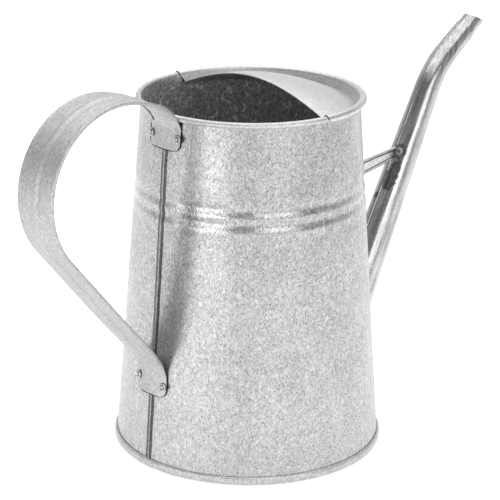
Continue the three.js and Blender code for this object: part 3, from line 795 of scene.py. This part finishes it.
def spout_ring(s, offset, sides, formed=0.0):
    """Round section; the formed sheet overlaps itself along the can side and narrows near the tip."""
    centre, along = SPOUT_ROUTE.at(s), SPOUT_ROUTE.along(s)
    across = Vector((-along.y, along.x))
    radius = spout_radius(centre) + offset
    if formed:
        radius -= TIP_STEP * smooth((s - SPOUT_ROUTE.length + SPOUT_OVERRUN + TIP_LENGTH) / 2.5)
    ring = []
    for a in np.linspace(0.02, 2 * math.pi, sides):
        overlap = 12 * (0.5 - a / (2 * math.pi))
        skin = formed * (math.cos(7 * a + 0.6) + 0.6 * math.cos(11 * a + s * 0.02) + overlap)
        spot = centre + across * (radius + skin) * math.cos(a)
        ring.append((spot.x, (radius + skin) * math.sin(a), spot.y))
    return ring


def spout_skin(name, offset, sides, formed=0.0, stations=90):
    places = np.linspace(0, SPOUT_ROUTE.length, stations)
    return grid_piece(name, [spout_ring(s, offset, sides, formed) for s in places], caps=True)


# Where the brace's height crosses the spout's centre line.
BRACE_MEETS = SPOUT_ROOT.lerp(SPOUT_BEND, (BRACE_SPOUT_Z - SPOUT_ROOT.y) / (SPOUT_BEND.y - SPOUT_ROOT.y))


def on_spout(side, rise, lift):
    """A point on the can side of the spout, by sideways arc length and distance along the spout."""
    middle = BRACE_MEETS + SPOUT_LOWER * (rise - 1.8)
    radius = spout_radius(middle) + lift
    angle = side / radius
    spot = middle + SPOUT_ACROSS * radius * math.cos(angle)
    return (spot.x, radius * math.sin(angle), spot.y)


# Where the brace is soldered to the spout, and the heat stains round it: side, rise and radius.
JOINT_SIDE, JOINT_RISE = -2.95, -0.9
STAINS = (
    (JOINT_SIDE, JOINT_RISE, 4.6), (-4.5, -10, 3.6), (-3.4, -16, 4.6), (-3.4, -22.5, 4.2), (2.2, -32, 1.9),
)


def on_joint(side, rise, lift):
    return on_spout(JOINT_SIDE + side, JOINT_RISE + rise, lift)


def trim_by_wall(piece):
    """Removes what lies inside the can's wall."""
    low, high = -5.0, 200.0
    profile = [(wall_r(z) + WALL_TOUCH, z) for z in [low, *wall_heights(0.0, high)]]
    profile = [(0.0, low), *profile, (0.0, high)]
    cut_away(piece, revolve("trim_cone", profile, 144, closed_profile=False))


SPOUT_METAL = bright_tube("bright_zinc_spout", SPOUT_BEND - SPOUT_ROOT, [
    ((Vector(on_spout(side, rise, 0)) + Vector((AXIS_X, 0, 0))) * MM, radius * MM)
    for side, rise, radius in STAINS
])


def spout():
    outer = spout_skin("spout_fine", 0.0, 112, SPOUT_FORMING, 140)
    cut_away(outer, spout_skin("spout_bore", -SPOUT_SHEET, 64))
    trim_by_wall(outer)
    shape = bmesh.new()
    shape.from_mesh(outer.data)
    mouth = Vector((AXIS_X + SPOUT_MOUTH.x, 0, SPOUT_MOUTH.y)) * MM
    lean = Vector((math.sin(MOUTH_TILT), 0, math.cos(MOUTH_TILT)))
    everything = shape.verts[:] + shape.edges[:] + shape.faces[:]
    cut = bmesh.ops.bisect_plane(shape, geom=everything, plane_co=mouth, plane_no=lean, clear_outer=True)
    loops = [e for e in cut["geom_cut"] if isinstance(e, bmesh.types.BMEdge)]
    bmesh.ops.bridge_loops(shape, edges=loops)
    shape.to_mesh(outer.data)
    shape.free()
    shade(outer.data)
    settle(outer, "spout_sheet", SPOUT_METAL, "spout_tube")


def spout_solder():
    """Soft fillet in the corner between the wall and the foot of the spout."""
    up = Vector((SPOUT_LOWER.x, 0, SPOUT_LOWER.y))
    rings = []
    for a in np.linspace(0, 2 * math.pi, 96, endpoint=False):
        low, high = -40.0, 60.0          # along the spout, halved until the wall's surface is found
        for _ in range(40):
            middle = (low + high) / 2
            axis = SPOUT_ROOT + SPOUT_LOWER * middle
            radius = spout_radius(axis) + WALL_TOUCH
            spot = axis + SPOUT_ACROSS * radius * math.cos(a)
            inside = math.hypot(spot.x, radius * math.sin(a)) < wall_r(spot.y) + WALL_TOUCH
            low, high = (middle, high) if inside else (low, middle)
        size = FILLET + 0.25 * math.sin(5 * a) + 0.2 * math.sin(9 * a + 1)
        root = Vector((spot.x, radius * math.sin(a), spot.y))
        out = Vector((SPOUT_ACROSS.x * math.cos(a), math.sin(a), SPOUT_ACROSS.y * math.cos(a)))
        face = Vector((root.x, root.y, 0)).normalized()
        spread = (out - face * out.dot(face)).normalized()
        climb = root + up * size
        run = root + spread * size
        hollow = (climb + run) / 2 - (climb + run - root * 2) * 0.18
        sunk = root - face * 0.4 - out * 0.3
        section = (sunk + spread * size * 0.6, run, hollow, climb, sunk + up * size * 0.6)
        rings.append([tuple(p) for p in section])
    piece = grid_piece("spout_root_fillet", rings, close_rings=True)
    settle(piece, "solder", SOLDER, "spout_root_solder")


# ---- brace ------------------------------------------------------------------------------------
def brace_section(height, roll):
    """Half of a strip section: web in the middle and a rolled bead along each long edge."""
    points = [(roll * 0.5, height - roll * 2 - 0.7)]
    for a in np.radians(np.linspace(-60, 90, 9)):
        points.append((roll * math.cos(a), height - roll + roll * math.sin(a)))
    right = [(y, -z) for y, z in reversed(points)] + points
    left = [(-y, z) for y, z in reversed(right)]
    return right + left[1:-1]


BRACE_SHADED_CREASES = {0, 1, 8, 10, 27, 29, 36, 37}     # faces along the edges of the rolls, painted dark as shade in the creases


def brace_bar():
    start = wall_r(BRACE_WALL_Z) + 0.6
    end = BRACE_MEETS.x - spout_radius(BRACE_MEETS) - 0.2
    rings = []
    for t in np.linspace(0, 1, 40):
        x = lerp(start, end, t)
        z0 = lerp(BRACE_WALL_Z, BRACE_SPOUT_Z, lerp(smooth(t * 1.1 - 0.05), t, 0.7))
        narrow = lerp(1.0, BRACE_NARROW, smooth((t - 0.55) / 0.4))
        section = brace_section(BRACE_HALF * narrow, BRACE_ROLL_R)
        rings.append([(x, y * narrow, z0 + z) for y, z in section])
    piece = grid_piece("brace_bar", rings, caps=True)
    settle(piece, "brace_sheet", [BRACE_METAL, SHADE_DARK_METAL], "spout_brace")
    # The creases along the rolls are painted dark as shade.
    for face in piece.data.polygons:
        face.material_index = 1 if face.index % len(rings[0]) in BRACE_SHADED_CREASES else 0


def on_wall(side, rise, lift):
    z = BRACE_WALL_Z + rise
    r = wall_r(z) + bead_swell(z) + lift
    return (r * math.cos(side / r), r * math.sin(side / r), z)


def tongue(name, place, size_side, size_rise, thick, material, slot, node=None, wobble=0.0):
    """A round pad that lies on a curved surface, with a soft edge."""
    levels = ((1.0, 0.0), (1.0, 0.55), (0.93, 0.85), (0.8, 1.0), (0.5, 1.0), (0.2, 1.0))
    rings = []
    for scale, height in levels:
        ring = []
        for a in np.linspace(0, 2 * math.pi, 56, endpoint=False):
            ragged = 1 + wobble * (math.sin(3 * a + 0.7) + 0.6 * math.sin(7 * a))
            side = size_side * scale * ragged * math.cos(a)
            rise = size_rise * scale * ragged * math.sin(a)
            ring.append(place(side, rise, 0.05 + thick * height))
        rings.append(ring)
    piece = grid_piece(name, rings, caps=True)
    settle(piece, slot, material, *([node] if node else []))


# Name, surface, half width, half height, thickness, material, slot, then the CAD node and the edge's wobble.
BRACE_PADS = (
    ("brace_tongue_spout", on_joint, 2.5, 2.7, 0.4, SOLDER, "brace_sheet"),
    ("brace_punch_mark", on_joint, 1.1, 1.2, 0.5, SCORCH, "brace_sheet"),
    ("brace_tongue_wall", on_wall, 5.3, 4.9, 0.9, BRACE_METAL, "brace_sheet"),
    ("brace_scorch_spout", on_joint, 4.6, 5.0, 0.12, SCORCH, "solder", "brace_spout_solder", 0.03),
    ("brace_solder_wall", on_wall, 7.3, 5.0, 0.35, SOLDER, "solder", "brace_wall_solder", 0.02),
)


# ---- stage: floor, light and camera -----------------------------------------------------------
BACK_SIDE = (46.5, 18.0)        # azimuth and elevation of the bright back, in degrees
BACK_EDGE = (0.35, 0.75)        # cosines of the angles over which it fades in
BACK_LEVEL = 0.88
SIDE_TOP = (0.22, 0.42)         # sines of the elevations over which the sides dim
SIDE_LEVEL, ABOVE_LEVEL = 0.54, 0.40
ROOM_SIDE = (178.0, 0.0)        # azimuth and elevation of the unlit room
ROOM_EDGE = (0.26, 0.64)
ROOM_FOOT = (0.14, 0.30)        # sines of the elevations over which the room starts
ROOM_LEVEL = 0.68
FLOOR_HALF, FLOOR_DROP = 3.0, 0.0002
FLOOR_GLOW = 0.36


def floor():
    mesh = bpy.data.meshes.new("floor")
    half = FLOOR_HALF
    mesh.from_pydata([(-half, -half, 0), (half, -half, 0), (half, half, 0), (-half, half, 0)], [], [(0, 1, 2, 3)])
    piece = bpy.data.objects.new("floor", mesh)
    bpy.context.scene.collection.objects.link(piece)
    piece.location.z = -FLOOR_DROP
    n = Nodes("pale_floor")
    tones = [(0.3, (0.93, 0.93, 0.93)), (0.7, (0.95, 0.95, 0.95))]
    n.link(n.ramp(n.noise(3, 2), tones), n.shader.inputs["Base Color"])
    n.shader.inputs["Roughness"].default_value = 0.9
    n.shader.inputs["Emission Color"].default_value = (1, 1, 1, 1)
    n.shader.inputs["Emission Strength"].default_value = FLOOR_GLOW
    mesh.materials.append(n.material)


def soft_box(name, centre, target, width, height, watts):
    data = bpy.data.lights.new(name, "AREA")
    data.shape = "RECTANGLE"
    data.size, data.size_y = width, height
    data.energy = watts
    light = bpy.data.objects.new(name, data)
    light.location = centre
    light.rotation_euler = (Vector(target) - Vector(centre)).to_track_quat("-Z", "Y").to_euler()
    bpy.context.scene.collection.objects.link(light)


def direction(azimuth, elevation):
    around, up = math.radians(azimuth), math.radians(elevation)
    return Vector((math.cos(up) * math.cos(around), math.cos(up) * math.sin(around), math.sin(up)))


STRIP_AWAY = 2.2                # distance of the two side boxes, in metres
# Name, place, target, width and height in metres, and power in watts.
SOFT_BOXES = (
    ("top_light", (0.3, 0.3, 3.0), (0.3, 0.3, 0), 5.4, 5.4, 112),
    ("left_strip", direction(-180, 5) * STRIP_AWAY, (0, 0, 0.1), 2.1, 0.42, 9.8),
    ("right_strip", direction(-107, 20) * STRIP_AWAY, (0, 0, 0.15), 1.45, 0.95, 8.4),
)


def sky():
    """Bright sweep behind, softer sides, dimmer above and where the unlit room lies."""
    world = bpy.data.worlds.new("studio")
    bpy.context.scene.world = world
    world.use_nodes = True
    tree = world.node_tree

    def ease(value, low, high, out_low, out_high):
        node = tree.nodes.new("ShaderNodeMapRange")
        node.interpolation_type = "SMOOTHSTEP"
        for key, amount in zip(("From Min", "From Max", "To Min", "To Max"), (low, high, out_low, out_high)):
            node.inputs[key].default_value = amount
        tree.links.new(value, node.inputs["Value"])
        return node.outputs["Result"]

    def combine(kind, first, second):
        node = tree.nodes.new("ShaderNodeMath")
        node.operation = kind
        for socket, value in zip(node.inputs, (first, second)):
            if isinstance(value, float):
                socket.default_value = value
            else:
                tree.links.new(value, socket)
        return node.outputs[0]

    def toward(side):
        node = tree.nodes.new("ShaderNodeVectorMath")
        node.operation = "DOT_PRODUCT"
        node.inputs[1].default_value = direction(*side)
        tree.links.new(place, node.inputs[0])
        return node.outputs["Value"]

    place = tree.nodes.new("ShaderNodeTexCoord").outputs["Generated"]
    height = tree.nodes.new("ShaderNodeSeparateXYZ")
    tree.links.new(place, height.inputs[0])
    sides = ease(height.outputs["Z"], *SIDE_TOP, SIDE_LEVEL, ABOVE_LEVEL)
    back = ease(toward(BACK_SIDE), *BACK_EDGE, 0.0, BACK_LEVEL)
    room = combine("MULTIPLY", ease(toward(ROOM_SIDE), *ROOM_EDGE, 0.0, 1.0 - ROOM_LEVEL),
                   ease(height.outputs["Z"], *ROOM_FOOT, 0.0, 1.0))
    level = combine("MULTIPLY", combine("MAXIMUM", sides, back), combine("SUBTRACT", 1.0, room))
    tree.links.new(level, tree.nodes["Background"].inputs["Strength"])
    tree.nodes["Background"].inputs["Color"].default_value = (1, 1, 1, 1)


CAMERA_AZIMUTH = math.radians(-133.5)
CAMERA_REACH = 1.2029           # distance from the can's axis, in metres
CAMERA_HEIGHT = 0.5330
CAMERA_PITCH = 0.3318
CAMERA_YAW = 0.0005
CAMERA_ROLL = 0.0110
CAMERA_LENS, CAMERA_SENSOR = 150.5, 36           # in millimetres


def camera():
    data = bpy.data.cameras.new("camera")
    data.lens = CAMERA_LENS
    data.sensor_width = CAMERA_SENSOR
    data.clip_start, data.clip_end = 0.05, 20
    eye = Vector((math.cos(CAMERA_AZIMUTH), math.sin(CAMERA_AZIMUTH), 0)) * CAMERA_REACH
    eye += Vector((AXIS_X * MM, 0, CAMERA_HEIGHT))
    heading = CAMERA_AZIMUTH + math.pi - CAMERA_YAW
    forward = Vector((math.cos(heading) * math.cos(CAMERA_PITCH), math.sin(heading) * math.cos(CAMERA_PITCH),
                      -math.sin(CAMERA_PITCH)))
    level = forward.cross(Vector((0, 0, 1))).normalized()
    right = Matrix.Rotation(-CAMERA_ROLL, 3, forward) @ level
    up = right.cross(forward)
    turn = Matrix((right, up, -forward)).transposed().to_4x4()
    made = bpy.data.objects.new("camera", data)
    made.matrix_world = Matrix.Translation(eye) @ turn
    bpy.context.scene.collection.objects.link(made)
    bpy.context.scene.camera = made


camera()
sky()
floor()
for each_box in SOFT_BOXES:
    soft_box(*each_box)
bpy.context.scene.view_settings.view_transform = "Standard"

body_wall()
lock_seam()
base_pan()
hood()
hood_hem()
handle()
# Dark sheets painted as the shadow in the gap under each lug.
lug_shadow_line("lug_shadow_line_upper", UPPER_LUG_FOOT_Z, UPPER_LUG_TOP_Z - 1, UPPER_FAR)
lug_shadow_line("lug_shadow_line_lower", LOWER_LUG_FOOT_Z, LOWER_LUG_FOOT_Z + 13, STRAP_FAR)
for each_rivet in RIVETS:
    rivet(*each_rivet)
spout()
spout_solder()
brace_bar()
for each_pad in BRACE_PADS:
    tongue(*each_pad)
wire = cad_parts["rim_wire"]                # the CAD's own wire only needs its material
wire.data.materials.clear()
wire.data.materials.append(WIRE_METAL)
